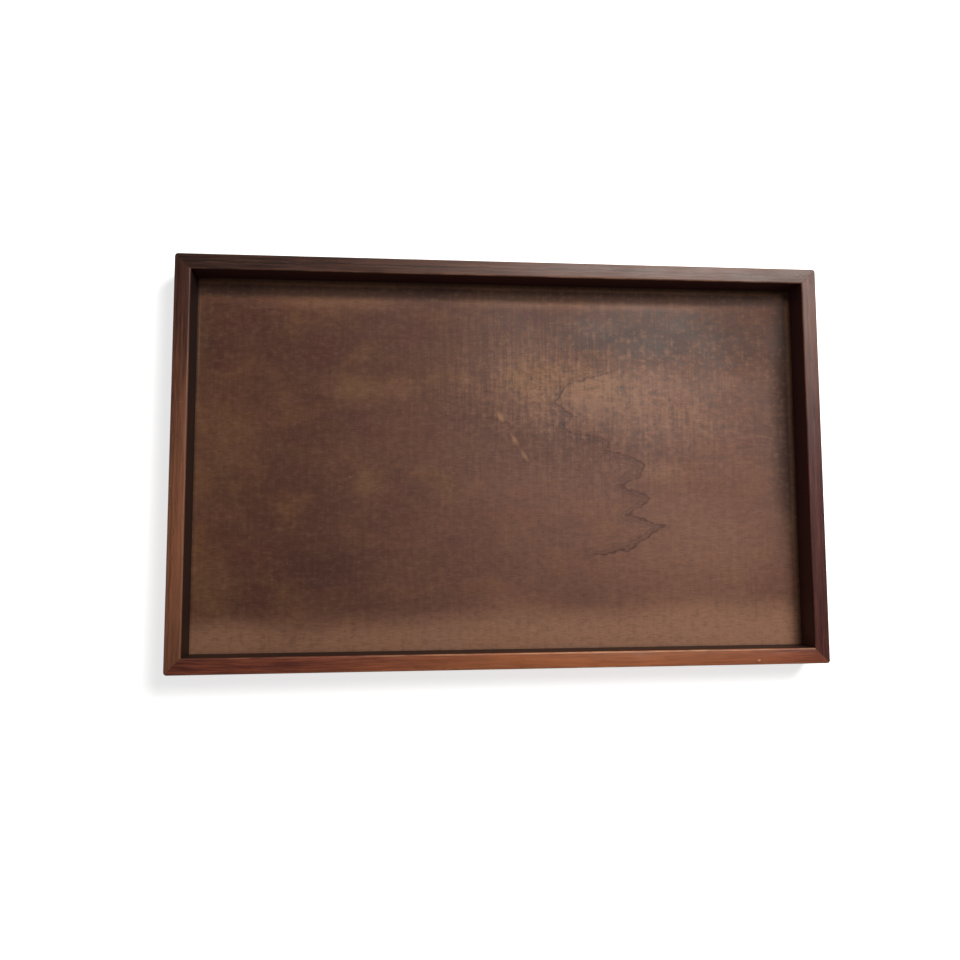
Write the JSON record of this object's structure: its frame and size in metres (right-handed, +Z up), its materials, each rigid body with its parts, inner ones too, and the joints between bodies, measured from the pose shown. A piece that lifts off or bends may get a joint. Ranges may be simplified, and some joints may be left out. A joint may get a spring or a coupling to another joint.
{
  "type": "serving tray",
  "caption": "Shallow rectangular wooden serving tray with mitred, dark-stained rails around a stained plywood panel held in a groove.",
  "frame": {"origin": "centre of the tray's footprint, on the surface that the rails rest on", "axes": "+X along the tray's long side towards the right rail, +Y across it towards the far rail, +Z up, out of the open top"},
  "size_m": [0.5, 0.312, 0.03],
  "materials": {
    "stained_rail": "solid hardwood, dark walnut stain, satin varnish, rubbed lighter on the edges",
    "stained_veneer": "rotary-cut plywood face, walnut stain taken up unevenly, satin varnish",
    "raw_veneer": "unfinished poplar core, seen by nobody until the tray is taken apart",
    "stained_filler": "wood filler, darker and flatter than the rail around it",
    "brad_steel": "bright drawn steel wire"
  },
  "bodies": {
    "root": {"near_rail": "stained_rail", "right_rail": "stained_rail", "far_rail": "stained_rail", "left_rail": "stained_rail", "panel_back_veneer": "stained_veneer", "panel_core_veneer": "raw_veneer", "panel_face_veneer": "stained_veneer", "brad_near_left_lower": "brad_steel", "brad_near_left_upper": "brad_steel", "brad_far_left_lower": "brad_steel", "brad_far_left_upper": "brad_steel", "brad_near_right_lower": "brad_steel", "brad_near_right_upper": "brad_steel", "brad_far_right_lower": "brad_steel", "brad_far_right_upper": "brad_steel", "filler_plug_near_left_lower": "stained_filler", "filler_plug_near_left_upper": "stained_filler", "filler_plug_far_left_lower": "stained_filler", "filler_plug_far_left_upper": "stained_filler", "filler_plug_near_right_lower": "stained_filler", "filler_plug_near_right_upper": "stained_filler", "filler_plug_far_right_lower": "stained_filler", "filler_plug_far_right_upper": "stained_filler"}
  },
  "joints": []
}
